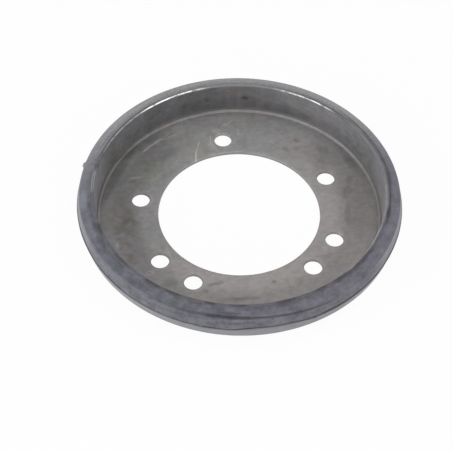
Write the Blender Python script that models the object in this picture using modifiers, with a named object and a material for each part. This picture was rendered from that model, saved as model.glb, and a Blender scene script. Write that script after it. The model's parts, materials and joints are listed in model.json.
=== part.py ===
"""Traction drive disc: a pressed steel dish with a rubber friction tread moulded round its wall.

Metres, +Z up. The origin is on the disc's axis, in the plane of the web's flat underside,
and the dish is open upwards. The bolt hole that both hole patterns share lies on +Y.
"""
import math

import bpy

# Sheet steel dish
SHEET = 0.0015
PAN_HEIGHT = 0.0188
FLOOR_RADIUS = 0.0679
RIM_OPENING = 0.0005
BEND_RADIUS = 0.0015
RIM_ROUND = 0.0003
BORE_RADIUS = 0.0387

# Bolt holes: two evenly spaced patterns on one circle, which share their first hole
BOLT_CIRCLE_RADIUS = 0.04785
BOLT_HOLE_RADIUS = 0.0043
HOLE_PATTERNS = (5, 3)
SHARED_HOLE_ANGLE = math.radians(90)

# Rubber tread, moulded in two halves that meet at its largest radius
TREAD_DEPTH = 0.00688
TREAD_WIDTH = 0.0136
MOULD_DRAFT = 0.0015
TREAD_STEP = 0.0006
TREAD_FALL = 0.0007
SHOULDER_ROUND = 0.001
FOOT_ROUND = 0.0012
BOND_GAP = 0.0003

# Fineness of the mesh
RING_STEPS = 96
HOLE_STEPS = 32
FILLET_STEPS = 3

# What a modifier may weld, far below the smallest feature
MERGE_DISTANCE = 0.00001


def clear_scene():
    """Start from an empty scene."""
    for thing in list(bpy.data.objects):
        bpy.data.objects.remove(thing, do_unlink=True)


def new_collection(name):
    """Make a collection in the scene."""
    group = bpy.data.collections.new(name)
    bpy.context.scene.collection.children.link(group)
    return group


def new_material(name, colour, roughness, metallic):
    """Make a plain Principled material."""
    material = bpy.data.materials.new(name)
    material.use_nodes = True
    shader = material.node_tree.nodes["Principled BSDF"]
    shader.inputs["Base Color"].default_value = (*colour, 1.0)
    shader.inputs["Roughness"].default_value = roughness
    shader.inputs["Metallic"].default_value = metallic
    return material


def filleted(corners):
    """Turn corners (radius, height, fillet) into an outline whose fillets are arcs."""
    outline = []
    for index, (r, z, fillet) in enumerate(corners):
        if fillet == 0:
            outline.append((r, z))
            continue
        before = corners[index - 1]
        after = corners[(index + 1) % len(corners)]
        to_before = unit(before[0] - r, before[1] - z)
        to_after = unit(after[0] - r, after[1] - z)
        half_angle = math.acos(to_before[0] * to_after[0] + to_before[1] * to_after[1]) / 2
        middle = unit(to_before[0] + to_after[0], to_before[1] + to_after[1])
        reach = fillet / math.sin(half_angle)
        centre = (r + middle[0] * reach, z + middle[1] * reach)
        run = fillet / math.tan(half_angle)
        start = direction(r + to_before[0] * run - centre[0], z + to_before[1] * run - centre[1])
        end = direction(r + to_after[0] * run - centre[0], z + to_after[1] * run - centre[1])
        sweep = (end - start + math.pi) % math.tau - math.pi
        for step in range(FILLET_STEPS + 1):
            angle = start + sweep * step / FILLET_STEPS
            outline.append((centre[0] + fillet * math.cos(angle), centre[1] + fillet * math.sin(angle)))
    return outline


def unit(x, z):
    """Scale a direction to length one."""
    length = math.hypot(x, z)
    return x / length, z / length


def direction(x, z):
    """Angle of a direction in the profile's plane."""
    return math.atan2(z, x)


def wall_lean():
    """Angle by which the dish's wall leans outwards."""
    return math.atan2(RIM_OPENING, PAN_HEIGHT - SHEET)


def wall_inner_radius(height):
    """Radius of the wall's inner face at a height."""
    return FLOOR_RADIUS + (height - SHEET) * math.tan(wall_lean())


def wall_outer_radius(height):
    """Radius of the wall's outer face at a height: one sheet outside the inner face."""
    return wall_inner_radius(height) + SHEET / math.cos(wall_lean())


def bond_radius(height):
    """Radius of the tread's inner face at a height, just clear of the wall."""
    return wall_outer_radius(height) + BOND_GAP / math.cos(wall_lean())


def pan_section():
    """Section of the dish, down the outside of its wall, in to the bore and back up the inside."""
    return filleted([
        (wall_outer_radius(PAN_HEIGHT), PAN_HEIGHT, RIM_ROUND),
        (wall_outer_radius(0), 0, BEND_RADIUS + SHEET),
        (BORE_RADIUS, 0, 0),
        (BORE_RADIUS, SHEET, 0),
        (FLOOR_RADIUS, SHEET, BEND_RADIUS),
        (wall_inner_radius(PAN_HEIGHT), PAN_HEIGHT, RIM_ROUND),
    ])


def tread_section():
    """Section of the tread, down its working face and back up the side that is bonded to the wall."""
    inner_top = PAN_HEIGHT - TREAD_STEP
    shoulder = inner_top - TREAD_FALL
    parting = shoulder - TREAD_WIDTH / 2
    foot = shoulder - TREAD_WIDTH
    parting_radius = bond_radius(parting) + TREAD_DEPTH
    edge_radius = parting_radius - MOULD_DRAFT
    return filleted([
        (edge_radius, shoulder, SHOULDER_ROUND),
        (parting_radius, parting, 0),
        (edge_radius, foot, FOOT_ROUND),
        (bond_radius(foot), foot, 0),
        (bond_radius(inner_top), inner_top, 0),
    ])


def turned(name, section, material, group):
    """Turn a closed section about the Z axis."""
    mesh = bpy.data.meshes.new(name)
    points = [(r, 0.0, z) for r, z in section]
    edges = [(index, (index + 1) % len(points)) for index in range(len(points))]
    mesh.from_pydata(points, edges, [])
    mesh.materials.append(material)
    thing = bpy.data.objects.new(name, mesh)
    group.objects.link(thing)
    screw = thing.modifiers.new("turn", "SCREW")
    screw.axis = "Z"
    screw.angle = math.tau
    screw.steps = RING_STEPS
    screw.render_steps = RING_STEPS
    screw.use_merge_vertices = True
    screw.merge_threshold = MERGE_DISTANCE
    screw.use_smooth_shade = True
    return thing


def bolt_hole_angles():
    """Angles of the bolt holes, with the shared hole counted once."""
    angles = [SHARED_HOLE_ANGLE]
    for count in HOLE_PATTERNS:
        angles.extend(SHARED_HOLE_ANGLE + math.tau * step / count for step in range(1, count))
    return angles


def add_bolt_hole_cutters(group):
    """Stand a cylinder through the web at each bolt hole."""
    for index, angle in enumerate(bolt_hole_angles(), start=1):
        place = (BOLT_CIRCLE_RADIUS * math.cos(angle), BOLT_CIRCLE_RADIUS * math.sin(angle), SHEET / 2)
        bpy.ops.mesh.primitive_cylinder_add(
            vertices=HOLE_STEPS, radius=BOLT_HOLE_RADIUS, depth=3 * SHEET, location=place)
        cutter = bpy.context.object
        cutter.name = f"bolt_hole_cutter_{index}"
        for owner in list(cutter.users_collection):
            owner.objects.unlink(cutter)
        group.objects.link(cutter)
        cutter.hide_render = True
        cutter.display_type = "WIRE"


def cut_bolt_holes(pan, cutters):
    """Punch the bolt holes out of the web."""
    punch = pan.modifiers.new("bolt_holes", "BOOLEAN")
    punch.operation = "DIFFERENCE"
    punch.solver = "EXACT"
    punch.operand_type = "COLLECTION"
    punch.collection = cutters


def main():
    """Model the disc."""
    clear_scene()
    parts = new_collection("traction_drive_disc")
    cutters = new_collection("cutters")
    steel = new_material("pressed_steel", (0.16, 0.158, 0.152), 0.42, 0.9)
    rubber = new_material("moulded_rubber", (0.085, 0.09, 0.097), 0.6, 0.0)
    pan = turned("steel_pan", pan_section(), steel, parts)
    add_bolt_hole_cutters(cutters)
    cut_bolt_holes(pan, cutters)
    turned("rubber_ring", tread_section(), rubber, parts)


main()
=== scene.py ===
"""Looks of the traction drive disc: a bare pressed steel dish, stained and scratched, with a dusty
moulded rubber tread round its wall, on a pale studio floor. Metres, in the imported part's frame."""
import json
import math

import bmesh
import bpy
from mathutils import Matrix, Vector, noise

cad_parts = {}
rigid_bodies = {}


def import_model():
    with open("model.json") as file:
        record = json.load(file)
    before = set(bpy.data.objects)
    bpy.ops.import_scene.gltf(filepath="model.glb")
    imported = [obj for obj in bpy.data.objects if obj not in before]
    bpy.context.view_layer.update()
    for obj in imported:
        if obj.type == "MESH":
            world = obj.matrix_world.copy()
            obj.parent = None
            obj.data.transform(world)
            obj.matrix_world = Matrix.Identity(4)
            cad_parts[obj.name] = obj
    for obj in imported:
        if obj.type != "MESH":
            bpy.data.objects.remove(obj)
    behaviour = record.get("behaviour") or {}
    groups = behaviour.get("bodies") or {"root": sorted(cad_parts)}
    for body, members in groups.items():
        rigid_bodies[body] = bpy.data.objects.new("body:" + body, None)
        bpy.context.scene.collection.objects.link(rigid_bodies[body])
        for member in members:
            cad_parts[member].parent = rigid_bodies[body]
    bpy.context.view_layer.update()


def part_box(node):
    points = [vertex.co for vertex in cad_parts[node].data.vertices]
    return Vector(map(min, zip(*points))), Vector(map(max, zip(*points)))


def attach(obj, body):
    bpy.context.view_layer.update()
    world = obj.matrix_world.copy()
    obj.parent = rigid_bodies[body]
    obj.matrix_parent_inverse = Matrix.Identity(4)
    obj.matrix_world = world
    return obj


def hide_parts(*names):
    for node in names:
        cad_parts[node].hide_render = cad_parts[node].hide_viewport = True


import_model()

MM = 0.001

# The photograph's view: places in its image are in pixels from the top left corner
IMAGE_SIZE = 452
DISC_CENTRE_IN_IMAGE = (239.2, 211.5)
FOCAL_LENGTH_IN_PIXELS = 1406.2
SENSOR_WIDTH = 36.0
CAMERA_DISTANCE = 0.673
CAMERA_AZIMUTH = math.radians(-11.03)
CAMERA_ELEVATION = math.radians(49.23)
CAMERA_ROLL = math.radians(1.6)

# The dish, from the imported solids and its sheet
PAN_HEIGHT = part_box("steel_pan")[1].z
SHEET = 1.5 * MM
FLOOR_RADIUS = 67.9 * MM
RIM_OPENING = 0.5 * MM
BEND_RADIUS = 1.5 * MM
BORE_RADIUS = 38.7 * MM
LEAN = math.atan2(RIM_OPENING, PAN_HEIGHT - SHEET)
BURNISHED_ROUND = 0.45 * MM
SHEARED_ROUND = 0.2 * MM
PUNCH_ROLLOVER = 0.3 * MM
HOLE_ROLLOVER = 0.27 * MM
BURR_ROUND = 0.1 * MM

# The bolt holes: two even patterns on one circle that share the hole on +Y
BOLT_CIRCLE_RADIUS = 47.85 * MM
BOLT_HOLE_RADIUS = 4.3 * MM
HOLE_PATTERNS = (5, 3)

# The tread
TREAD_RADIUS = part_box("rubber_ring")[1].x
TREAD_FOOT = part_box("rubber_ring")[0].z
TREAD_INNER_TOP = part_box("rubber_ring")[1].z
TREAD_FALL = 0.7 * MM
TREAD_SHOULDER = TREAD_INNER_TOP - TREAD_FALL
PARTING_HEIGHT = (TREAD_SHOULDER + TREAD_FOOT) / 2 + 0.2 * MM
MOULD_DRAFT = 1.45 * MM
SHOULDER_ROUND = 1.1 * MM
FOOT_ROUND = 1.2 * MM
BOND_LINE = 0.03 * MM
LIP_RISE = 0.48 * MM
# Section of the mould line, in mm inwards from the largest radius and up from its height
MOULD_LINE = (
    (0.05, 0.3), (0.0, 0.1), (0.06, 0.0), (0.3, -0.12), (0.62, -0.3),
    (0.68, -0.55), (0.6, -0.85), (0.46, -1.1), (0.4, -1.35),
)

# Pits in the steel: the wall's by angle and height, the floor's by angle and radius, and their sizes
WALL_PIT = (77.9, 10.3 * MM)
WALL_PIT_SIZE = 0.65 * MM
FLOOR_PIT = (281.1, 45.1 * MM)
FLOOR_PIT_SIZE = 0.7 * MM

# Faults of the tread's face: angle, height, how far it stands out, half width and half height
NUB = (158.6, 16.6 * MM, 0.85 * MM, 2.1 * MM, 1.2 * MM)
NICK = (286.0, 10.3 * MM, -0.6 * MM, 1.1 * MM, 0.8 * MM)
# The fold along the tread's shoulder: its first and last angle, and its depth
CREASE = (224.0, 298.0)
CREASE_DEPTH = 0.6 * MM
# Where the mould line wanders upwards, and by how much
SEAM_RISE = (271.0, 1.1 * MM)

# Fineness of the meshes
PAN_STEPS = 480
TREAD_STEPS = 640
HOLE_STEPS = 64
FINE_STEP = math.radians(0.14)
FINE_REACH = math.radians(2.2)


def polar(angle, radius, height=0.0):
    """A point from its angle in degrees about the axis, its radius and its height."""
    turn = math.radians(angle)
    return Vector((radius * math.cos(turn), radius * math.sin(turn), height))


def smooth(value, low, high):
    """0 below low, 1 above high and a smooth step between them."""
    share = min(1.0, max(0.0, (value - low) / (high - low)))
    return share * share * (3 - 2 * share)


def line(start, end, steps):
    """Points on a straight run, without its end."""
    return [tuple(a + (b - a) * step / steps for a, b in zip(start, end)) for step in range(steps)]


def arc(centre, radius, start, end, steps):
    """Points on an arc between two angles in degrees, without its end."""
    points = []
    for step in range(steps):
        turn = math.radians(start + (end - start) * step / steps)
        points.append((centre[0] + radius * math.cos(turn), centre[1] + radius * math.sin(turn)))
    return points


def even_angles(steps, fine_places=()):
    """Angles round the axis, with closer ones near some places, all in radians."""
    angles = {math.tau * step / steps for step in range(steps)}
    for place in fine_places:
        count = int(FINE_REACH / FINE_STEP)
        angles.update((place + FINE_STEP * step) % math.tau for step in range(-count, count + 1))
    spaced = []
    for angle in sorted(angles):
        if not spaced or angle - spaced[-1] > FINE_STEP / 3:
            spaced.append(angle)
    return spaced


def turned(name, outline, angles, shift):
    """Turn a closed outline about the axis. shift gives the outward and upward move of each point."""
    vertices = []
    for angle in angles:
        for radius, height in outline:
            outward, upward = shift(radius, height, angle)
            reach = radius + outward
            vertices.append((reach * math.cos(angle), reach * math.sin(angle), height + upward))
    size = len(outline)
    faces = []
    for near in range(len(angles)):
        far = (near + 1) % len(angles)
        for low in range(size):
            high = (low + 1) % size
            faces.append((near * size + low, near * size + high, far * size + high, far * size + low))
    mesh = bpy.data.meshes.new(name)
    mesh.from_pydata(vertices, [], faces)
    thing = bpy.data.objects.new(name, mesh)
    bpy.context.scene.collection.objects.link(thing)
    return thing


def wander(place, size, seed):
    """Smooth noise from about -1 to 1 with waves of a size, the same on each run."""
    offset = Vector((seed, 2.3 * seed, -1.7 * seed))
    return noise.fractal(place / size + offset, 0.8, 2.0, 3)


def wall_inner_radius(height):
    """Radius of the wall's inner face at a height."""
    return FLOOR_RADIUS + (height - SHEET) * math.tan(LEAN)


def wall_outer_radius(height):
    """Radius of the wall's outer face at a height."""
    return wall_inner_radius(height) + SHEET / math.cos(LEAN)


def pan_outline():
    """Section of the dish: over the rim, down the wall, in to the bore and back up the inside."""
    lean = math.degrees(LEAN)
    bend_height = SHEET + BEND_RADIUS
    bend_centre = (wall_inner_radius(bend_height) - BEND_RADIUS / math.cos(LEAN), bend_height)
    outer_bend = BEND_RADIUS + SHEET
    rim_outer = (wall_outer_radius(PAN_HEIGHT) - SHEARED_ROUND, PAN_HEIGHT - SHEARED_ROUND)
    rim_inner = (wall_inner_radius(PAN_HEIGHT) + BURNISHED_ROUND, PAN_HEIGHT - BURNISHED_ROUND)
    burr = (BORE_RADIUS + BURR_ROUND, BURR_ROUND)
    rollover = (BORE_RADIUS + PUNCH_ROLLOVER, SHEET - PUNCH_ROLLOVER)
    outer_bend_top = arc(bend_centre, outer_bend, -lean, -lean, 1)[0]
    inner_bend_top = arc(bend_centre, BEND_RADIUS, -lean, -lean, 1)[0]
    return (
        arc(rim_outer, SHEARED_ROUND, 90, -lean, 4)
        + line(arc(rim_outer, SHEARED_ROUND, -lean, -lean, 1)[0], outer_bend_top, 12)
        + arc(bend_centre, outer_bend, -lean, -90, 7)
        + line((bend_centre[0], 0), (burr[0], 0), 9)
        + arc(burr, BURR_ROUND, -90, -180, 2)
        + line((BORE_RADIUS, BURR_ROUND), (BORE_RADIUS, rollover[1]), 3)
        + arc(rollover, PUNCH_ROLLOVER, 180, 90, 5)
        + line((rollover[0], SHEET), (bend_centre[0], SHEET), 18)
        + arc(bend_centre, BEND_RADIUS, -90, -lean, 8)
        + line(inner_bend_top, arc(rim_inner, BURNISHED_ROUND, 180 - lean, 0, 1)[0], 14)
        + arc(rim_inner, BURNISHED_ROUND, 180 - lean, 90, 6)
        + line((rim_inner[0], PAN_HEIGHT), (rim_outer[0], PAN_HEIGHT), 3)
    )


def pan_shift(radius, height, angle):
    """Small faults of the pressing: an uneven sheared rim, a wavy wall, a web that isn't quite flat."""
    place = Vector((radius * math.cos(angle), radius * math.sin(angle), height))
    near_rim = smooth(height, PAN_HEIGHT - 3 * MM, PAN_HEIGHT)
    low_rim = 0.06 * MM * (1 + wander(place, 22 * MM, 1)) + 0.02 * MM * (1 + wander(place, 3 * MM, 2))
    on_web = 1 - smooth(radius, FLOOR_RADIUS - 8 * MM, FLOOR_RADIUS)
    raised_web = 0.05 * MM * (1 + wander(Vector((place.x, place.y, 0)), 30 * MM, 3))
    on_wall = smooth(height, SHEET + BEND_RADIUS, PAN_HEIGHT)
    outward = 0.03 * MM * wander(place, 16 * MM, 4) * on_wall
    if height > PAN_HEIGHT - BURNISHED_ROUND and radius < wall_inner_radius(PAN_HEIGHT) + SHEET / 2:
        outward -= 0.05 * MM * (1 + wander(place, 4 * MM, 7))
    return outward, max(0.0, raised_web * on_web) - max(0.0, low_rim * near_rim)


def spool(name, rings, segments, centre):
    """A round cutter from rings of radius and height, bottom to top, closed by flat caps."""
    mesh = bpy.data.meshes.new(name)
    shell = bmesh.new()
    loops = []
    for radius, height in rings:
        loops.append([
            shell.verts.new((
                centre.x + radius * math.cos(math.tau * step / segments),
                centre.y + radius * math.sin(math.tau * step / segments),
                centre.z + height))
            for step in range(segments)])
    for below, above in zip(loops, loops[1:]):
        for step in range(segments):
            after = (step + 1) % segments
            shell.faces.new((below[step], below[after], above[after], above[step]))
    shell.faces.new(list(reversed(loops[0])))
    shell.faces.new(loops[-1])
    shell.to_mesh(mesh)
    shell.free()
    return bpy.data.objects.new(name, mesh)


def hole_cutter(name, centre):
    """Cutter of a punched hole, flared where the punch rolled the top edge over."""
    steps = 4
    rings = [(BOLT_HOLE_RADIUS + BURR_ROUND, -BURR_ROUND), (BOLT_HOLE_RADIUS, BURR_ROUND)]
    for step in range(steps + 1):
        turn = math.radians(90 * step / steps)
        rings.append((
            BOLT_HOLE_RADIUS + HOLE_ROLLOVER * (1 - math.cos(turn)),
            SHEET - HOLE_ROLLOVER + HOLE_ROLLOVER * math.sin(turn)))
    rings.append((rings[-1][0] + HOLE_ROLLOVER, SHEET + HOLE_ROLLOVER))
    return spool(name, rings, HOLE_STEPS, centre)


def pit_cutter(name, centre, size, seed):
    """Cutter of a small ragged pit."""
    mesh = bpy.data.meshes.new(name)
    lump = bmesh.new()
    bmesh.ops.create_icosphere(lump, subdivisions=3, radius=size)
    for vertex in lump.verts:
        vertex.co = vertex.co * (1 + 0.25 * wander(vertex.co, size, seed)) + centre
    lump.to_mesh(mesh)
    lump.free()
    return bpy.data.objects.new(name, mesh)


def bolt_hole_angles():
    """Angles of the bolt holes in degrees, with the shared hole once."""
    angles = [90.0]
    for count in HOLE_PATTERNS:
        angles.extend(90.0 + 360.0 * step / count for step in range(1, count))
    return angles


def freeze(thing):
    """Put the evaluated mesh in place of the modifiers."""
    bpy.context.view_layer.update()
    finished = bpy.data.meshes.new_from_object(thing.evaluated_get(bpy.context.evaluated_depsgraph_get()))
    thing.modifiers.clear()
    thing.data = finished


def soften(thing, sharp_angle):
    """Smooth shading, with the creases that are sharper than an angle kept."""
    thing.data.shade_smooth()
    thing.data.set_sharp_from_angle(angle=math.radians(sharp_angle))


def build_pan():
    """The pressed dish with its punched holes and two small pits."""
    pan = turned("pressed_dish", pan_outline(), even_angles(PAN_STEPS), pan_shift)
    cutters = bpy.data.collections.new("cutters")
    for index, angle in enumerate(bolt_hole_angles(), start=1):
        cutters.objects.link(hole_cutter(f"hole_cutter_{index}", polar(angle, BOLT_CIRCLE_RADIUS)))
    wall_pit = polar(WALL_PIT[0], wall_inner_radius(WALL_PIT[1]) - 0.25 * MM, WALL_PIT[1])
    cutters.objects.link(pit_cutter("wall_pit_cutter", wall_pit, WALL_PIT_SIZE, 5))
    floor_pit = polar(FLOOR_PIT[0], FLOOR_PIT[1], SHEET + 0.35 * MM)
    cutters.objects.link(pit_cutter("floor_pit_cutter", floor_pit, FLOOR_PIT_SIZE, 6))
    cut = pan.modifiers.new("holes", "BOOLEAN")
    cut.operation = "DIFFERENCE"
    cut.solver = "EXACT"
    cut.operand_type = "COLLECTION"
    cut.collection = cutters
    freeze(pan)
    for cutter in list(cutters.objects):
        bpy.data.objects.remove(cutter)
    bpy.data.collections.remove(cutters)
    soften(pan, 40)
    return pan


def lip_outline(inner_top):
    """Section of the thin lip of rubber that climbs the rim, from the bonded face outwards."""
    return [
        (inner_top, TREAD_INNER_TOP + LIP_RISE),
        (inner_top + 0.2 * MM, TREAD_INNER_TOP + LIP_RISE - 0.05 * MM),
        (inner_top + 0.45 * MM, TREAD_INNER_TOP + 0.35 * LIP_RISE),
        (inner_top + 0.7 * MM, TREAD_INNER_TOP - 0.02 * MM),
    ]


def tread_outline():
    """Section of the tread: out over its top, down the working face and back up the bonded side."""
    edge = TREAD_RADIUS - MOULD_DRAFT
    slope = math.degrees(math.atan2(TREAD_FALL, edge - wall_outer_radius(TREAD_INNER_TOP)))
    draft = math.degrees(math.atan2(MOULD_DRAFT, TREAD_SHOULDER - PARTING_HEIGHT))
    inner_top = wall_outer_radius(TREAD_INNER_TOP) + BOND_LINE
    down_slope = Vector((math.cos(math.radians(slope)), -math.sin(math.radians(slope))))
    run = SHOULDER_ROUND * math.tan(math.radians((90 - slope - draft) / 2))
    shoulder_start = Vector((edge, TREAD_SHOULDER)) - down_slope * run
    centre = shoulder_start - Vector((-down_slope.y, down_slope.x)) * SHOULDER_ROUND
    shoulder_end = arc(centre, SHOULDER_ROUND, draft, draft, 1)[0]
    below_shoulder = (shoulder_end[0] + 1.6 * MM * math.tan(math.radians(draft)), shoulder_end[1] - 1.6 * MM)
    parting = [(TREAD_RADIUS - inward * MM, PARTING_HEIGHT + up * MM) for inward, up in MOULD_LINE]
    foot_start = (edge - 0.05 * MM, TREAD_FOOT + FOOT_ROUND)
    foot_centre = (foot_start[0] - FOOT_ROUND, foot_start[1])
    inner_foot = wall_outer_radius(TREAD_FOOT) + BOND_LINE
    near_shoulder = shoulder_start - down_slope * 1.5 * MM
    return (
        lip_outline(inner_top)
        + line((inner_top + 1.0 * MM, TREAD_INNER_TOP - 0.12 * MM), tuple(near_shoulder), 9)
        + line(tuple(near_shoulder), tuple(shoulder_start), 11)
        + arc(centre, SHOULDER_ROUND, 90 - slope, draft, 12)
        + line(shoulder_end, below_shoulder, 12)
        + line(below_shoulder, parting[0], 10)
        + parting
        + line(parting[-1], foot_start, 11)[1:]
        + arc(foot_centre, FOOT_ROUND, 0, -90, 8)
        + line((foot_centre[0], TREAD_FOOT), (inner_foot, TREAD_FOOT), 4)
        + line((inner_foot, TREAD_FOOT), (inner_top, TREAD_INNER_TOP + LIP_RISE), 4)
    )


def turn_between(angle, place):
    """Signed angle in degrees from a place in degrees to an angle in radians."""
    return (math.degrees(angle) - place + 180) % 360 - 180


def fault_at(angle, height, fault):
    """How far a fault of the tread's face moves a point outwards, falling smoothly to 0 at its edges."""
    place, middle, stand_out, half_width, half_height = fault
    along = math.radians(turn_between(angle, place)) * TREAD_RADIUS / half_width
    up = (height - middle) / half_height
    return stand_out * (1 - smooth(math.hypot(along, up), 0.35, 1.0))


def tread_shift(radius, height, angle):
    """Unevenness of the moulding: soft waves, the fold on its shoulder, the nub and the nick."""
    place = Vector((radius * math.cos(angle), radius * math.sin(angle), height))
    if radius < wall_outer_radius(height) + 0.1 * MM:
        return 0.0, 0.0
    sink = 0.035 * MM * (1 + wander(place, 9 * MM, 11)) + 0.02 * MM * (1 + wander(place, 2.2 * MM, 12))
    outward = 0.0
    upward = 0.0
    if height > TREAD_SHOULDER - SHOULDER_ROUND and radius < TREAD_RADIUS - 1.6 * MM:
        upward -= sink
    elif height < TREAD_FOOT + 0.3 * MM:
        upward += sink
    else:
        outward -= sink
    outward += fault_at(angle, height, NUB) + fault_at(angle, height, NICK)
    rise = SEAM_RISE[1] * (1 - smooth(abs(turn_between(angle, SEAM_RISE[0])), 5, 14))
    upward += rise * (1 - smooth(abs(height - PARTING_HEIGHT), 0.6 * MM, 3 * MM))
    fold = crease_depth(radius, height, angle)
    return outward - 0.8 * fold, upward - 0.7 * fold


def crease_middle(along):
    """Distance of the fold below the shoulder's corner, or inside it where negative."""
    inside = smooth(along, 12, 26) * (1 - smooth(along, 33, 46))
    return 1.8 * MM * smooth(along, 32, 77) - 0.6 * MM * inside


def crease_depth(radius, height, angle):
    """Depth of the fold that wanders along the shoulder, from just inside it to a little below it."""
    start, end = CREASE
    along = turn_between(angle, start)
    if not 0 < along < end - start:
        return 0.0
    inside = max(0.0, TREAD_RADIUS - MOULD_DRAFT - radius)
    away = abs(TREAD_SHOULDER - height - inside - crease_middle(along))
    deepest = 0.5 + 0.5 * smooth(along, 16, 30) * (1 - 0.5 * smooth(along, 42, 60))
    ends = smooth(along, 0, 8) * (1 - smooth(along, end - start - 12, end - start))
    return CREASE_DEPTH * deepest * ends * (1 - smooth(away, 0.1 * MM, 0.85 * MM))


def build_tread():
    """The moulded tread, with closer steps round its nub and its nick."""
    fine = [math.radians(NUB[0]), math.radians(NICK[0])]
    tread = turned("moulded_tread", tread_outline(), even_angles(TREAD_STEPS, fine), tread_shift)
    soften(tread, 50)
    return tread


class Value:
    """A number, vector or colour that varies over a surface. Operators on numbers add Math nodes."""

    def __init__(self, graph, socket):
        self.graph = graph
        self.socket = socket

    def __add__(self, other):
        return self.graph.math("ADD", self, other)

    def __sub__(self, other):
        return self.graph.math("SUBTRACT", self, other)

    def __rsub__(self, other):
        return self.graph.math("SUBTRACT", other, self)

    def __mul__(self, other):
        return self.graph.math("MULTIPLY", self, other)

    def __truediv__(self, other):
        return self.graph.math("DIVIDE", self, other)

    def __abs__(self):
        return self.graph.math("ABSOLUTE", self)

    __radd__ = __add__
    __rmul__ = __mul__


class Graph:
    """The nodes of a material or of the world."""

    def __init__(self, tree):
        self.tree = tree

    def add(self, kind, settings=None, sockets=None):
        """Add a node: its settings come first, then the values or links of its sockets."""
        node = self.tree.nodes.new(kind)
        for name, value in (settings or {}).items():
            setattr(node, name, value)
        for name, value in (sockets or {}).items():
            self.feed(node.inputs[name], value)
        return node

    def feed(self, socket, value):
        """Link a varying value to a socket, or set a constant on it."""
        if isinstance(value, Value):
            self.tree.links.new(value.socket, socket)
        elif socket.type == "RGBA" and len(value) == 3:
            socket.default_value = (*value, 1.0)
        else:
            socket.default_value = value

    def math(self, operation, *values, clamp=False):
        """A Math node on numbers."""
        settings = {"operation": operation, "use_clamp": clamp}
        return Value(self, self.add("ShaderNodeMath", settings, dict(enumerate(values))).outputs[0])

    def vector(self, operation, *values, scale=None):
        """A Vector Math node, whose result is a number for a length, a distance or a dot product."""
        sockets = dict(enumerate(values))
        if scale is not None:
            sockets["Scale"] = scale
        node = self.add("ShaderNodeVectorMath", {"operation": operation}, sockets)
        number = operation in ("LENGTH", "DISTANCE", "DOT_PRODUCT")
        return Value(self, node.outputs["Value" if number else "Vector"])

    def parts(self, value):
        """The x, y and z of a vector."""
        return [Value(self, part) for part in self.add("ShaderNodeSeparateXYZ", sockets={0: value}).outputs]

    def step(self, value, low, high):
        """0 below low, 1 above high, smooth between them; falling if low is above high."""
        flip = low > high
        ends = {"From Min": min(low, high), "From Max": max(low, high)}
        ends["To Min"] = 1.0 if flip else 0.0
        ends["To Max"] = 0.0 if flip else 1.0
        node = self.add("ShaderNodeMapRange", {"interpolation_type": "SMOOTHSTEP"}, {"Value": value, **ends})
        return Value(self, node.outputs["Result"])

    def rays(self):
        """Whether a ray comes from the camera or a refraction, from a reflection, or lights a surface."""
        path = self.add("ShaderNodeLightPath").outputs
        camera, refracted = Value(self, path["Is Camera Ray"]), Value(self, path["Is Transmission Ray"])
        seen = self.math("MAXIMUM", camera, refracted)
        return seen, Value(self, path["Is Glossy Ray"]), Value(self, path["Is Diffuse Ray"])


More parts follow.
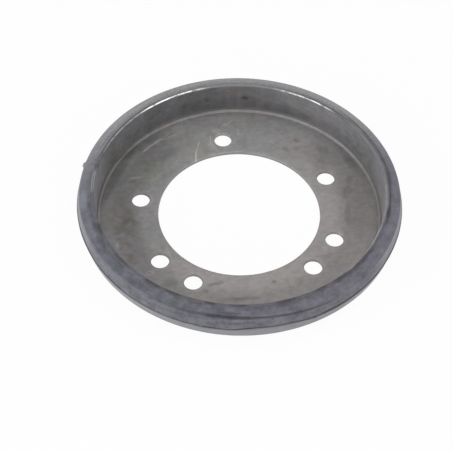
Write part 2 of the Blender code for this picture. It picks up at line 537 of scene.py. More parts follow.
class Finish(Graph):
    """A material in the making. Lengths in it are in millimetres."""

    def __init__(self, name):
        self.material = bpy.data.materials.new(name)
        self.material.use_nodes = True
        super().__init__(self.material.node_tree)
        self.shader = self.tree.nodes["Principled BSDF"]
        metres = self.add("ShaderNodeTexCoord").outputs["Object"]
        self.place = self.vector("SCALE", Value(self, metres), scale=1 / MM)
        x, y, self.z = self.parts(self.place)
        self.flat = Value(self, self.add("ShaderNodeCombineXYZ", sockets={0: x, 1: y}).outputs[0])
        self.radius = self.vector("LENGTH", self.flat)
        self.bearing = self.vector("NORMALIZE", self.flat)
        self.ragged = self.roughened(2.0, 2.2)

    def cloud(self, size, detail=2.0, roughness=0.5, place=None):
        """Noise from 0 to 1 with patches of a size."""
        node = self.add("ShaderNodeTexNoise", {"noise_dimensions": "3D"}, {
            "Vector": place or self.place, "Scale": 1.0 / size, "Detail": detail, "Roughness": roughness})
        return Value(self, node.outputs["Fac"])

    def roughened(self, size, amount):
        """The place pushed about by noise, so that what is drawn with it has ragged edges."""
        node = self.add("ShaderNodeTexNoise", {"noise_dimensions": "3D"}, {
            "Vector": self.place, "Scale": 1.0 / size, "Detail": 3.0, "Roughness": 0.6})
        push = self.vector("SUBTRACT", Value(self, node.outputs["Color"]), (0.5, 0.5, 0.5))
        return self.vector("ADD", self.place, self.vector("SCALE", push, scale=amount))

    def shifted(self, x, y, z):
        """The place moved, so that two clouds of one size differ."""
        return self.vector("ADD", self.place, (x, y, z))

    def wiped(self, turn, along, across):
        """A place for clouds drawn out in one direction on the floor."""
        node = self.add("ShaderNodeMapping", sockets={
            "Vector": self.place, "Rotation": (0, 0, math.radians(turn)),
            "Scale": (1 / along, 1 / across, 1 / across)})
        return Value(self, node.outputs[0])

    def swept(self, across, along):
        """A place for clouds drawn out round the axis: across is the scale in radius and height."""
        x, y, z = self.parts(self.vector("SCALE", self.bearing, scale=70 / along))
        lifted = (self.radius + self.z) / across
        return Value(self, self.add("ShaderNodeCombineXYZ", sockets={0: x, 1: y, 2: lifted}).outputs[0])

    def mix(self, share, first, second):
        """A colour between two, or first where share is 0."""
        node = self.add("ShaderNodeMix", {"data_type": "RGBA", "clamp_factor": True}, {
            0: share, 6: first, 7: second})
        return Value(self, node.outputs[2])

    def shade(self, colour, factor):
        """A colour made darker or lighter by a varying number."""
        return self.vector("SCALE", colour, scale=factor)

    def oval(self, angle, radius, along, across, slant=0, height=0, up=1000):
        """1 in a ragged oval whose middle is polar. It is flat unless up is given."""
        turn = math.radians(angle + slant)
        offset = self.vector("SUBTRACT", self.ragged, tuple(polar(angle, radius, height)))
        far = self.vector("DOT_PRODUCT", offset, (-math.sin(turn) / along, math.cos(turn) / along, 0))
        wide = self.vector("DOT_PRODUCT", offset, (math.cos(turn) / across, math.sin(turn) / across, 0))
        tall = self.vector("DOT_PRODUCT", offset, (0, 0, 1 / up))
        return self.step(far * far + wide * wide + tall * tall, 2.0, 0.0)

    def stroke(self, start, end, width, place=None):
        """1 on a straight scratch between two points, 0 beyond its width."""
        run = end - start
        offset = self.vector("SUBTRACT", place or self.place, tuple(start))
        share = self.vector("DOT_PRODUCT", offset, tuple(run / run.length_squared))
        nearest = self.vector("SCALE", tuple(run), scale=self.math("MULTIPLY", share, 1.0, clamp=True))
        return self.step(self.vector("DISTANCE", offset, nearest), width, width * 0.3)

    def sector(self, middle, half_width, fade):
        """1 within an angle of a direction, all in degrees, fading to 0 past it."""
        closeness = self.vector("DOT_PRODUCT", self.bearing, tuple(polar(middle, 1.0)))
        outer = math.cos(math.radians(min(180, half_width + fade)))
        return self.step(closeness, outer, math.cos(math.radians(half_width)))

    def sectors(self, rows):
        """The sum of sectors, from rows of middle, half width, fade and strength."""
        total = 0.0
        for middle, half_width, fade, strength in rows:
            total = total + self.sector(middle, half_width, fade) * strength
        return total

    def ovals(self, rows):
        """The sum of flat ovals, from rows of angle, radius, size along and across, slant and strength."""
        total = 0.0
        for angle, radius, along, across, slant, strength in rows:
            total = total + self.oval(angle, radius, along, across, slant) * strength
        return total

    def band(self, value, middle, half_width, fade):
        """1 where a value is near a middle, fading to 0 past its half width."""
        return self.step(abs(value - middle), half_width + fade, half_width)

    def bump(self, height, depth, strength=1.0):
        """A normal bent by a height from 0 to 1. depth is in millimetres."""
        sockets = {"Strength": strength, "Distance": depth * MM, "Height": height}
        return Value(self, self.add("ShaderNodeBump", sockets=sockets).outputs[0])

    def settle(self, **sockets):
        """Feed the shader's sockets, named with underscores for spaces, and give the material."""
        for name, value in sockets.items():
            self.feed(self.shader.inputs[name.replace("_", " ")], value)
        return self.material


# Colours of the sheet, then of what lies on it or was rubbed into it
DARK_SHEET = (0.245, 0.243, 0.242)
PALE_SHEET = (0.31, 0.306, 0.306)
PINKISH_SHEET = (0.295, 0.272, 0.27)
BLUISH_SHEET = (0.262, 0.262, 0.292)
OLIVE_STAIN = (0.25, 0.26, 0.228)
TAUPE_STAIN = (0.282, 0.25, 0.248)
BROWN_STAIN = (0.2, 0.175, 0.155)
BEIGE_STAIN = (0.3, 0.288, 0.262)
SCRATCHED = (0.62, 0.6, 0.58)
# Painted glint of the lamps on the rim's inner corner, partly rubbed bright
BURNISHED_GLINT = (0.78, 0.77, 0.76)
CEMENT = (0.118, 0.115, 0.136)
DUSTY_CEMENT = (0.27, 0.268, 0.28)
# Colour of a painted highlight along the rim's inner edge
HIGHLIGHT_ON_CEMENT_EDGE = (0.33, 0.31, 0.34)
# Colour of two painted glint lines on the rim
GLINT_LINES_ON_CEMENT = (0.42, 0.42, 0.43)
RUST = (0.135, 0.104, 0.12)

# Colours of the rubber, from clean to dusty
CLEAN_RUBBER = (0.059, 0.058, 0.074)
BLOOM = (0.205, 0.196, 0.236)
BLUISH_BLOOM = (0.088, 0.105, 0.118)
# Chalky bloom with a painted sheen, used at the back
CHALK_AND_SHEEN = (0.37, 0.37, 0.37)
VIOLET_DUST = (0.32, 0.318, 0.38)
PALE_FACE = (0.34, 0.335, 0.35)
# Pale bloom with a painted reflection of the floor, below the mould line
PALE_LOWER_FACE_AND_REFLECTION = (0.35, 0.346, 0.366)

# Marks on the floor of the dish: angle and radius of the middle, size along and across, slant, strength
DARK_MARKS = (
    (247.0, 45.0, 3.8, 1.0, 32, 0.26),
    (242.6, 50.5, 1.3, 1.1, 0, 0.18),
    (281.1, 45.2, 1.6, 1.3, 0, 0.14),
    (150.6, 55.0, 2.2, 0.8, -55, 0.15),
    (51.0, 47.3, 1.6, 1.4, 0, 0.24),
    (46.3, 50.3, 2.0, 1.4, 30, 0.2),
    (49.3, 55.4, 1.8, 1.2, 0, 0.22),
    (35.5, 58.5, 3.2, 2.6, 20, 0.16),
    (5.0, 54.2, 4.4, 2.2, -25, 0.16),
    (12.0, 57.8, 2.8, 1.6, -35, 0.14),
    (349.5, 52.0, 7.0, 1.4, 0, 0.16),
    (345.0, 54.6, 2.2, 1.2, 0, 0.08),
    (351.0, 58.0, 17.0, 4.5, 0, 0.09),
    (20.5, 63.8, 6.0, 2.0, 0, 0.16),
    (264.5, 52.3, 6.0, 0.9, 0, 0.16),
    (257.5, 53.2, 4.0, 1.4, 0, 0.12),
    (293.0, 50.5, 1.4, 2.6, -30, 0.12),
    (288.0, 47.5, 1.2, 3.0, -25, 0.08),
    (314.0, 46.0, 5.0, 1.0, -50, 0.1),
    # The next two long marks, close to the wall on the left, are painted shadow of the wall
    (124.0, 64.8, 20.0, 2.2, 0, 0.16),
    (150.0, 64.5, 22.0, 3.0, 0, 0.18),
    (123.0, 51.0, 6.0, 3.0, 0, 0.08),
    (177.6, 53.0, 1.9, 2.6, 20, 0.11),
    (224.0, 54.0, 3.0, 3.0, 0, 0.12),
)
LIGHT_MARKS = (
    (80.8, 53.0, 0.7, 2.6, 0, 0.2),
    (84.0, 46.0, 1.6, 3.4, 0, 0.12),
    (86.5, 58.6, 3.4, 0.9, 35, 0.22),
    (92.5, 54.5, 2.4, 1.6, 0, 0.2),
    (77.5, 58.0, 1.4, 2.0, 0, 0.12),
    (97.5, 44.5, 1.6, 3.2, 20, 0.14),
    (101.0, 54.5, 3.0, 2.0, 0, 0.1),
    (114.0, 59.6, 2.6, 0.7, 0, 0.34),
    (108.5, 59.8, 2.2, 0.7, 0, 0.14),
    (147.8, 54.8, 3.0, 0.7, -60, 0.22),
    (186.0, 58.8, 0.8, 2.4, 10, 0.16),
    (191.5, 61.2, 2.4, 0.8, -20, 0.2),
    (195.0, 58.5, 3.0, 1.4, -20, 0.14),
    (334.5, 49.5, 2.0, 1.8, 0, 0.12),
    (22.5, 53.0, 3.0, 2.0, 30, 0.1),
    (32.0, 46.0, 2.6, 2.0, 0, 0.08),
)
SCRATCHES = (
    ((113.4, 39.0), (109.4, 44.0), 0.4, 0.75),
    ((111.4, 39.2), (107.6, 44.4), 0.2, 0.3),
    ((109.4, 44.0), (104.2, 49.3), 0.36, 0.42),
    ((104.2, 49.3), (99.0, 55.5), 0.26, 0.14),
    ((98.3, 46.3), (96.6, 51.5), 0.3, 0.4),
    ((141.0, 45.0), (134.0, 55.0), 0.18, 0.14),
    ((204.0, 41.0), (214.0, 43.0), 0.16, 0.12),
    ((318.0, 44.5), (324.0, 49.5), 0.18, 0.1),
    ((55.0, 42.0), (72.0, 47.0), 0.16, 0.1),
)
# A pale ring stain: angle and radius of its middle, its own radius, strength
RING_STAIN = (213.0, 56.2, 1.4, 0.16)

# Dark marks on the wall: angle, height, length, half height, strength
WALL_MARKS = (
    (77.9, 10.3, 1.6, 1.1, 0.34),
    (76.0, 8.5, 5.0, 4.0, 0.08),
    (94.2, 9.9, 1.2, 0.9, 0.2),
    (102.0, 9.0, 7.0, 3.0, 0.1),
)
# Lighter stretches of the wall, and how the painted shade over the bend changes round the dish:
# middle and half width of the sector, fade, strength
LIGHT_WALL = ((79, 5, 7, 0.14), (133, 5, 7, 0.2), (350, 8, 14, 0.26), (165, 6, 8, 0.22))
DIM_BEND = ((49, 8, 10, 0.14), (109, 10, 12, 0.2), (164, 6, 10, -0.1))


def pressed_steel():
    """Bare pressed sheet: grey and cloudy, stained and scratched, with bonding cement on its rim, painted
    glints on the rim and painted shade on the wall.
    """
    finish = Finish("pressed_steel")
    on_floor = finish.step(finish.z, 3.2, 1.9)
    mottle = finish.cloud(2.6, 4.0, 0.62)
    grain = finish.cloud(0.4, 2.0, 0.6)
    light = scratches(finish) * on_floor
    shine = glint_and_burnish(finish)
    film = rim_film(finish) * (1 - shine)
    rust = rim_rust(finish) * (1 - shine)
    colour = sheet_colour(finish, on_floor, mottle, grain)
    colour = finish.mix(light, colour, SCRATCHED)
    # Painted glint on the rim's inner corner
    colour = finish.mix(shine, colour, BURNISHED_GLINT)
    colour = cemented(finish, colour, film)
    colour = finish.mix(rust * (0.4 + mottle), colour, RUST)
    colour = finish.shade(colour, 1 - film * rim_blotches(finish))
    dull = finish.math("MAXIMUM", film, rust)
    rough = finish.math("MAXIMUM", 0.42 + 0.16 * mottle + 0.08 * grain - 0.12 * light, dull * 0.6)
    height = finish.cloud(0.8, 4.0, 0.6) * 0.6 + finish.cloud(6, 2.0, 0.5) * 0.4 - 0.35 * light
    normal = finish.bump(height, 0.05, 0.6)
    metal = 0.85 - 0.75 * dull
    return finish.settle(Base_Color=colour, Roughness=rough - 0.2 * shine, Metallic=metal, Normal=normal)


def sheet_colour(finish, on_floor, mottle, grain):
    """The bare sheet: cloudy, wiped in one direction, with the marks of its floor and its wall."""
    wiped = finish.cloud(1, 3.0, 0.6, finish.wiped(35, 9, 1.6))
    cloudy = 0.46 + 0.64 * mottle + 0.2 * grain + 0.24 * wiped
    colour = finish.shade(tinted_sheet(finish, on_floor), cloudy)
    colour = finish.shade(colour, floor_tone(finish, on_floor))
    return finish.shade(colour, wall_tone(finish))


def tinted_sheet(finish, on_floor):
    """The sheet's own colour: grey, pinkish on one side, with faint olive, taupe and brown patches."""
    base = finish.mix(finish.cloud(24, 3.0, 0.55), DARK_SHEET, PALE_SHEET)
    pink = finish.sector(300, 62, 55) * on_floor
    base = finish.mix(pink * 0.6, base, PINKISH_SHEET)
    base = finish.mix(0.4 - 0.4 * on_floor, base, BLUISH_SHEET)
    olive = finish.step(finish.cloud(17, 3.0, 0.6, finish.shifted(40, 9, 3)), 0.52, 0.74) * 0.6
    olive = finish.math("MAXIMUM", olive, finish.oval(138, 51, 5, 9, -20))
    base = finish.mix(olive * 0.5, base, OLIVE_STAIN)
    taupe = finish.step(finish.cloud(19, 3.0, 0.6, finish.shifted(-31, 55, 8)), 0.5, 0.72) * 0.8
    taupe = finish.math("MAXIMUM", taupe, finish.oval(40, 52, 16, 7))
    base = finish.mix(taupe * 0.5, base, TAUPE_STAIN)
    brown = finish.step(finish.cloud(5, 4.0, 0.6), 0.32, 0.62)
    brown = brown * finish.math("MAXIMUM", finish.oval(177, 55, 13, 7), 0.8 * finish.oval(196, 58, 9, 4, -20))
    base = finish.mix(brown * 0.62, base, BROWN_STAIN)
    beige = finish.step(finish.cloud(13, 3.0, 0.6, finish.shifted(11, -25, 6)), 0.5, 0.66)
    return finish.mix(beige * 0.4, base, BEIGE_STAIN)


def floor_tone(finish, on_floor):
    """Lighter near the bore and on the far side, darker to the left from stains and painted shade, with dark
    and light marks.
    """
    ragged = finish.cloud(5, 3.0, 0.6)
    radius = finish.radius + 5 * (ragged - 0.5)
    tone = 1.0 - 0.22 * finish.step(radius, 44, 53) + 0.1 * finish.step(radius, 59, 62)
    tone = tone + 0.27 * finish.sector(77, 23, 26) * finish.step(radius, 44, 52)
    # Darker to the left: partly stains, partly painted shade where the wall keeps the light off
    tone = tone - 0.13 * finish.sector(169, 28, 26)
    tone = tone - finish.ovals(DARK_MARKS) + finish.ovals(LIGHT_MARKS)
    angle, distance, size, strength = RING_STAIN
    apart = finish.vector("DISTANCE", finish.ragged, tuple(polar(angle, distance, SHEET / MM)))
    tone = tone + finish.band(apart, size, 0.15, 0.5) * strength
    for angle in bolt_hole_angles():
        apart = finish.vector("DISTANCE", finish.flat, tuple(polar(angle, BOLT_CIRCLE_RADIUS / MM)))
        tone = tone + 0.1 * finish.band(apart, 5.4, 0.4, 0.6) * ragged
    return 1 + on_floor * (tone - 1)


def scratches(finish):
    """Bright scratches, rubbed arcs and fine turned lines beside the bore."""
    light = 0.0
    for start, end, width, strength in SCRATCHES:
        first = polar(*start, SHEET / MM)
        last = polar(*end, SHEET / MM)
        light = light + finish.stroke(first, last, width) * strength
    uneven = finish.cloud(2, 3.0, 0.6)
    rub = finish.sector(125.3, 4.5, 3) * finish.band(finish.radius + 0.6 * uneven, 61.3, 0.25, 0.45)
    lines = finish.step(finish.cloud(1, 2.0, 0.6, finish.swept(0.3, 11)), 0.54, 0.74)
    beside_bore = finish.step(finish.radius, 42.5, 40.0)
    patches = finish.step(finish.cloud(9, 2.0, 0.5, finish.shifted(5, -44, 0)), 0.42, 0.58)
    return light * (0.5 + uneven) + 0.42 * rub * (0.4 + uneven) + 0.4 * lines * beside_bore * patches


def wall_tone(finish):
    """The wall inside: streaked, with painted shade on one side, dark marks and painted shade over the bend.
    """
    on_wall = finish.step(finish.z, 2.6, 4.4)
    streaks = finish.cloud(1, 3.0, 0.6, finish.swept(3.0, 9))
    smudge = finish.step(finish.cloud(6, 4.0, 0.62, finish.shifted(0, 21, 60)), 0.42, 0.66)
    # Painted shade on the side of the wall that gets least light
    shaded_side = finish.sector(106, 23, 26)
    low = finish.step(finish.z, 13, 6) * (0.3 + finish.sector(50, 16, 14))
    tone = 1.11 + 0.22 * (streaks - 0.5) - 0.11 * smudge - 0.38 * shaded_side - 0.14 * low
    tone = tone + finish.sectors(LIGHT_WALL) - 0.14 * finish.sector(56, 4, 7) * low
    return (1 + on_wall * (tone - 1) - wall_marks(finish)) * (1 - painted_bend_shade(finish, streaks))


def wall_marks(finish):
    """Dark marks on the wall."""
    radius = wall_inner_radius(10 * MM) / MM
    marks = 0.0
    for angle, height, length, half_height, strength in WALL_MARKS:
        marks = marks + finish.oval(angle, radius, length, 2, 0, height, half_height) * strength
    return marks


def painted_bend_shade(finish, streaks):
    """Painted shade over the bend between floor and wall, and a faint streaky dark line on the floor just
    inside it.
    """
    on_floor = finish.step(finish.z, 1.7, 1.6)
    inside = finish.band(finish.radius, 66.35, 0.35, 0.35) * finish.step(finish.z, 2.1, 1.7)
    # Strength of the painted shade over the bend, changing round the dish
    dull = 0.24 + finish.sectors(DIM_BEND)
    return 0.16 * inside * streaks + dull * finish.band(finish.z, 2.1, 0.5, 0.6) * (1 - on_floor)


# Where the rim's inner corner carries a painted glint of the lamps, partly rubbed bright: middle and half
# width of the sector, fade, strength
GLINT_ON_RIM = (
    (52, 6, 12, 0.85),
    (110.5, 11, 10, 1.0),
    (125, 18, 12, 0.5),
    (85, 14, 8, 0.25),
    (313, 10, 4, 0.4),
    (326, 4, 3, 0.6),
    (344, 8, 6, 0.4),
)


def glint_and_burnish(finish):
    """1 where the rim's inner corner carries a painted glint of the lamps, partly rubbed bright."""
    start = wall_inner_radius(PAN_HEIGHT) / MM
    top = finish.step(finish.z, 17.9, 18.2) * finish.step(finish.radius, start + 0.6, start + 0.4)
    worn = 0.0
    for middle, half_width, fade, strength in GLINT_ON_RIM:
        worn = finish.math("MAXIMUM", worn, finish.sector(middle, half_width, fade) * strength)
    uneven = 0.4 + 0.6 * finish.step(finish.cloud(3, 3.0, 0.6, finish.shifted(2, 2, -9)), 0.3, 0.55)
    return top * worn * uneven


def rim_film(finish):
    """Dark cement and thin rubber flash left on the top of the rim."""
    ragged = finish.cloud(1.5, 3.0, 0.6)
    return finish.step(finish.z + 0.7 * ragged, 18.2, 18.5) * (0.75 + 0.4 * finish.cloud(3, 3.0, 0.6))


def cemented(finish, colour, film):
    """Cement over a colour: dark and patchy, dusty in places, with a painted highlight along one edge and two
    painted glint lines.
    """
    cement = finish.shade(CEMENT, 0.3 + 1.2 * finish.cloud(2.8, 3.0, 0.6))
    colour = finish.mix(film, colour, cement)
    dusty = finish.math("MAXIMUM", 0.7 * finish.sector(88, 12, 26), 0.45 * finish.sector(4, 20, 12))
    colour = finish.mix(film * dusty, colour, DUSTY_CEMENT)
    # A painted highlight along the rim's inner edge on one side
    edge = finish.sector(322, 14, 8) * finish.step(finish.radius, 69.2, 68.8) * finish.cloud(2.2, 3.0, 0.6)
    colour = finish.mix(film * edge * 1.2, colour, HIGHLIGHT_ON_CEMENT_EDGE)
    # Two painted glint lines on the rim at the left
    lines = finish.band(finish.radius, 68.75, 0.1, 0.2) + finish.band(finish.radius, 69.65, 0.1, 0.2)
    return finish.mix(film * lines * finish.sector(167.5, 4, 3) * 0.7, colour, GLINT_LINES_ON_CEMENT)


# Rust along the rim: angle, length and strength
RIM_RUST = (
    (246.0, 4.2, 1.0),
    (233.5, 1.6, 0.7),
    (225.5, 1.8, 0.7),
    (209.0, 2.6, 0.8),
    (274.5, 5.0, 0.8),
    (295.5, 4.0, 0.7),
    (303.5, 1.8, 0.7),
    (315.0, 1.6, 0.6),
)


# Dark blotches where the rim meets the rubber: angle, radius, length, width and strength
RIM_BLOTCHES = (
    (192.5, 69.5, 3.8, 1.5, 0.6),
    (210.0, 69.6, 5.0, 1.2, 0.42),
    (226.0, 69.4, 4.6, 1.6, 0.62),
    (235.0, 69.1, 4.4, 1.2, 0.55),
    (249.4, 69.0, 2.6, 1.1, 0.7),
    (260.0, 68.9, 4.0, 1.0, 0.5),
    (277.8, 69.2, 5.4, 0.9, 0.65),
    (291.0, 69.2, 3.4, 1.1, 0.55),
    (301.0, 69.5, 5.4, 1.0, 0.6),
    (312.5, 69.8, 8.0, 1.0, 0.55),
    (338.5, 70.3, 3.6, 0.7, 0.6),
)


def rim_blotches(finish):
    """Dark blotches along the rim and the rubber's inner edge."""
    dirt = 0.0
    for angle, radius, length, width, strength in RIM_BLOTCHES:
        dirt = dirt + finish.oval(angle, radius, length, width) * strength
    return dirt * finish.step(finish.z, 16.5, 17.2)


def rim_rust(finish):
    """Spots of rust along the rim."""
    rust = finish.step(finish.cloud(4.5, 3.0, 0.6, finish.shifted(-7, 2, 30)), 0.58, 0.7) * 0.25
    middle = (wall_inner_radius(PAN_HEIGHT) + SHEET / 2) / MM
    for angle, length, strength in RIM_RUST:
        spot = finish.oval(angle, middle, length, 1.4)
        rust = finish.math("MAXIMUM", rust, strength * spot)
    return finish.step(finish.z, 18.2, 18.5) * rust


def moulded_rubber():
    """Black rubber under a grey bloom, dusty and cloudy, with turned lines, painted shade in its fold, mould
    line and beside the rim, and painted sheen and reflection in places.
    """
    finish = Finish("moulded_rubber")
    clouds = finish.cloud(4.6, 3.0, 0.58)
    flecks = finish.cloud(1.4, 3.0, 0.6, finish.shifted(9, 4, 2))
    grain = finish.cloud(0.45, 3.0, 0.7)
    lines = finish.cloud(1, 3.0, 0.6, finish.swept(0.4, 16))
    streaks = finish.cloud(1, 3.0, 0.6, finish.swept(1.6, 7))
    blotchy = 0.8 + 0.7 * finish.sector(212, 26, 22)
    bloom = 0.44 + 0.4 * (lines - 0.5) + blotchy * (1.6 * (clouds - 0.5) + 0.6 * (flecks - 0.5))
    bloom = bloom + 0.5 * (finish.cloud(16, 2.0, 0.5) - 0.5) + 0.9 * (streaks - 0.5)
    rise = finish.sector(SEAM_RISE[0], 5, 9) * (SEAM_RISE[1] / MM)
    above = finish.z - rise - PARTING_HEIGHT / MM
    groove = seam_dirt_and_shade(finish, above, clouds, streaks)
    nick = finish.oval(NICK[0], 76, 1.0, 2, 0, NICK[1] / MM, 0.9) * 0.45
    colour = dusty_rubber(finish, bloom, flecks, lines)
    colour = pale_faces(finish, colour, above, flecks, streaks)
    dark = (1 - groove - nick) * (1 - top_shade_and_lines(finish, clouds, streaks)) * (1 - fold_shadow(finish))
    colour = finish.shade(colour, dark * (1 - 0.8 * rim_blotches(finish)) * (0.84 + 0.32 * grain))
    rough = 0.44 + 0.2 * bloom + 0.5 * groove
    height = grain * 0.3 + flecks * 0.35 + lines * 0.35
    normal = finish.bump(height, 0.1, 0.8)
    return finish.settle(Base_Color=colour, Roughness=rough, Metallic=0.0, Normal=normal)


def dusty_rubber(finish, bloom, flecks, lines):
    """Rubber under its bloom: bluish on one side, chalky at the back with a painted sheen there, with dust on
    the widest part.
    """
    colour = finish.mix(bloom, CLEAN_RUBBER, BLOOM)
    colour = finish.mix(finish.sector(205, 42, 8) * 0.4, colour, BLUISH_BLOOM)
    outer = finish.step(finish.radius, 70.5, 73.5)
    # Chalky bloom at the back with a painted sheen, strongest towards the shoulder
    chalk_and_sheen = finish.sector(87, 46, 46) * (0.6 + 0.36 * outer + 1.2 * (flecks - 0.5) + 1.2 * (lines - 0.5))
    colour = finish.mix(chalk_and_sheen * 0.8, colour, CHALK_AND_SHEEN)
    dust = finish.sector(178, 12, 12) * 0.16 + finish.sector(345, 22, 14) * 0.08
    dust = (dust + 0.3 * finish.oval(176.5, 73.2, 5.5, 2.0)) * finish.step(finish.radius, 71.0, 72.6)
    return finish.mix(dust, colour, VIOLET_DUST)


def pale_faces(finish, colour, above, flecks, streaks):
    """The tread's working face over a colour, paler in places, and lighter below the mould line from pale
    bloom and a painted reflection of the floor.
    """
    face = finish.step(finish.z, TREAD_SHOULDER / MM - 0.4, TREAD_SHOULDER / MM - 1.1)
    pale = 0.1 + 0.34 * finish.sector(330, 8, 10) + 0.16 * finish.sector(183, 7, 10)
    pale = pale + 0.5 * (streaks - 0.5) + 0.3 * (flecks - 0.5)
    colour = finish.mix(face * pale, colour, PALE_FACE)
    # Below the mould line: pale bloom with a painted reflection of the floor
    lower = finish.step(above, -0.8, -1.4)
    return finish.mix(lower * (0.5 + 0.3 * (streaks - 0.5)), colour, PALE_LOWER_FACE_AND_REFLECTION)


def seam_dirt_and_shade(finish, above, clouds, streaks):
    """Dark mould line: dirt on its ridge with painted shade under its lip, wider on both sides of the disc
    and darker at two places.
    """
    outside = finish.step(finish.radius, 73.5, 74.5)
    line = finish.band(above + 0.3 * (streaks - 0.5), -0.1, 0.35, 0.35) * outside * (0.58 + 0.3 * clouds)
    # Painted shade under the lip, widened on both sides of the disc
    sides = finish.math("MAXIMUM", finish.sector(184, 9, 8), finish.sector(334, 9, 8))
    line = finish.math("MAXIMUM", line, finish.band(above, 0.5, 0.9, 0.6) * outside * sides * 0.6)
    deeper = finish.math("MAXIMUM", finish.sector(201, 13, 8), finish.sector(309, 18, 8))
    return finish.math("MAXIMUM", line, finish.band(above, 0.1, 0.6, 0.45) * outside * deeper * 0.66)


def top_shade_and_lines(finish, clouds, streaks):
    """Darkening on the tread's top: painted shade beside the rim, and two faint dark turned lines."""
    edge = finish.radius + 1.8 * (clouds + streaks - 1)
    # Painted shade on the rubber beside the rim, less at the back
    beside_rim = finish.step(edge, 71.4, 70.4) * finish.step(finish.z, 15, 16)
    beside_rim = beside_rim * (0.5 + 0.5 * finish.sector(240, 60, 30)) * (1 - 0.8 * finish.sector(88, 12, 26))
    lines = finish.band(finish.radius, 70.6, 0.2, 0.4) * finish.sector(345, 8, 6)
    lines = lines + finish.band(finish.radius, 71.4, 0.3, 0.4) * finish.sector(14, 16, 10)
    return 0.25 * beside_rim + lines * finish.step(finish.z, 16, 17) * (0.25 + 0.45 * streaks)


def fold_shadow(finish):
    """Painted shade in the fold along the shoulder, thickest in its middle, with a faint dark patch above it.
    """
    start, end = CREASE
    steps = 9
    points = []
    for step in range(steps + 1):
        along = 4 + (end - start - 10) * step / steps
        middle = crease_middle(along) / MM
        radius = (TREAD_RADIUS - MOULD_DRAFT) / MM + min(0, middle) + 0.2 * max(0, middle)
        points.append(polar(start + along, radius, TREAD_SHOULDER / MM - max(0, middle)))
    shadow = 0.0
    for step in range(steps):
        strength = 0.34 + 0.26 * smooth(step, 1, 4) - 0.2 * smooth(step, 6, 8)
        width = 1.3 if step in (3, 4) else 0.95
        stroke = finish.stroke(points[step], points[step + 1], width)
        shadow = finish.math("MAXIMUM", shadow, stroke * strength)
    above = finish.oval(257, 73.2, 4.5, 1.1, 0, 17.6, 1.4) * 0.3
    return finish.math("MAXIMUM", shadow, above)


LAMP_DISTANCE = 1.1
# Each lamp's direction in the camera's frame, width, height and radiance
LAMPS = {
    "left_key": ((-0.8, -0.45, 0.4), 1.15, 0.95, 2.75),
    "right_fill": ((0.8, -0.45, 0.4), 0.9, 0.7, 1.8),
    "upper_left": ((-0.25, 0.15, 0.95), 0.45, 0.5, 1.95),
    "upper_right": ((0.4, 0.15, 0.9), 0.6, 0.5, 3.1),
}
# The world's strength where it lights the disc, and in reflections of what is overhead
AMBIENT = 0.2
CEILING = 0.7
CEILING_FADE = (0.4, 0.75)
# The floor, and the share of it that glows where it is seen or reflected and where it lights the disc
FLOOR_SIZE = 3.0
FLOOR_DROP = 0.02 * MM
FLOOR_WHITE = (0.95, 0.95, 0.95)
FLOOR_GLOW = 0.95
FLOOR_LIGHT = 0.55


def add_lamp(name, toward, width, height, radiance):
    """A soft lamp that faces the disc."""
    light = bpy.data.lights.new(name, "AREA")
    light.shape = "RECTANGLE"
    light.size = width
    light.size_y = height
    light.energy = radiance * math.pi * width * height
    lamp = bpy.data.objects.new(name, light)
    bpy.context.scene.collection.objects.link(lamp)
    direction = (Matrix.Rotation(CAMERA_AZIMUTH, 3, "Z") @ Vector(toward)).normalized()
    lamp.location = direction * LAMP_DISTANCE
    lamp.rotation_mode = "QUATERNION"
    lamp.rotation_quaternion = (-direction).to_track_quat("-Z", "Y")


def light_the_world():
    """A white surround for what is seen or reflected, dimmer overhead and where it only lights the disc."""
    world = bpy.data.worlds.new("studio")
    bpy.context.scene.world = world
    world.use_nodes = True
    graph = Graph(world.node_tree)
    seen, reflected, lighting = graph.rays()
    direction = Value(graph, graph.add("ShaderNodeTexCoord").outputs["Generated"])
    upward = graph.parts(direction)[2]
    reflection = 1 - (1 - CEILING) * graph.step(upward, *CEILING_FADE)
    background = graph.tree.nodes["Background"]
    graph.feed(background.inputs["Color"], (1.0, 1.0, 1.0))
    graph.feed(background.inputs["Strength"], seen + reflected * reflection + lighting * AMBIENT)


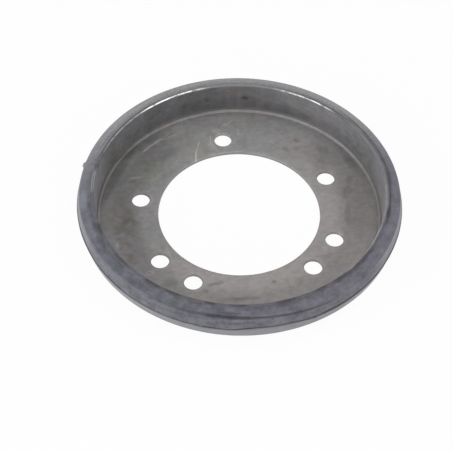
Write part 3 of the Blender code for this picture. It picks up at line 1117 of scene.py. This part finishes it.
def lay_floor():
    """A pale floor that mostly glows, and keeps the disc's soft shadow on the rest."""
    mesh = bpy.data.meshes.new("studio_floor")
    plate = bmesh.new()
    bmesh.ops.create_grid(plate, x_segments=1, y_segments=1, size=FLOOR_SIZE / 2)
    plate.to_mesh(mesh)
    plate.free()
    floor = bpy.data.objects.new("studio_floor", mesh)
    floor.location.z = -FLOOR_DROP
    bpy.context.scene.collection.objects.link(floor)
    material = bpy.data.materials.new("studio_floor")
    material.use_nodes = True
    graph = Graph(material.node_tree)
    graph.tree.nodes.remove(graph.tree.nodes["Principled BSDF"])
    seen, reflected, lighting = graph.rays()
    matt = Value(graph, graph.add("ShaderNodeBsdfDiffuse", sockets={"Color": FLOOR_WHITE}).outputs[0])
    glow = Value(graph, graph.add("ShaderNodeEmission").outputs[0])
    share = (seen + reflected) * FLOOR_GLOW + lighting * FLOOR_LIGHT
    blend = Value(graph, graph.add("ShaderNodeMixShader", sockets={0: share, 1: matt, 2: glow}).outputs[0])
    graph.feed(graph.tree.nodes["Material Output"].inputs["Surface"], blend)
    mesh.materials.append(material)


def add_camera():
    """The photograph's camera, turned so that the disc's centre falls at its place in the image."""
    data = bpy.data.cameras.new("camera")
    data.sensor_width = SENSOR_WIDTH
    data.lens = FOCAL_LENGTH_IN_PIXELS / IMAGE_SIZE * SENSOR_WIDTH
    data.clip_start = 0.01
    data.clip_end = 100.0
    camera = bpy.data.objects.new("camera", data)
    bpy.context.scene.collection.objects.link(camera)
    away = Vector((
        math.sin(CAMERA_AZIMUTH) * math.cos(CAMERA_ELEVATION),
        -math.cos(CAMERA_AZIMUTH) * math.cos(CAMERA_ELEVATION),
        math.sin(CAMERA_ELEVATION)))
    centre = Vector((0, 0, SHEET))
    camera.location = centre + away * CAMERA_DISTANCE
    turn = (-away).to_track_quat("-Z", "Y").to_matrix() @ Matrix.Rotation(CAMERA_ROLL, 3, "Z")
    right = DISC_CENTRE_IN_IMAGE[0] - IMAGE_SIZE / 2
    up = IMAGE_SIZE / 2 - DISC_CENTRE_IN_IMAGE[1]
    aside = Matrix.Rotation(math.atan2(right, FOCAL_LENGTH_IN_PIXELS), 3, "Y")
    below = Matrix.Rotation(-math.atan2(up, FOCAL_LENGTH_IN_PIXELS), 3, "X")
    camera.rotation_mode = "QUATERNION"
    camera.rotation_quaternion = (turn @ aside @ below).to_quaternion()
    bpy.context.scene.camera = camera


def dress(piece, node, material):
    """Give a piece its material and let it stand for its CAD node."""
    piece.data.materials.clear()
    piece.data.materials.append(material)
    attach(piece, "root")
    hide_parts(node)


bpy.context.scene.view_settings.view_transform = "Standard"
light_the_world()
lay_floor()
for lamp_name, settings in LAMPS.items():
    add_lamp(lamp_name, *settings)
add_camera()
dress(build_pan(), "steel_pan", pressed_steel())
dress(build_tread(), "rubber_ring", moulded_rubber())
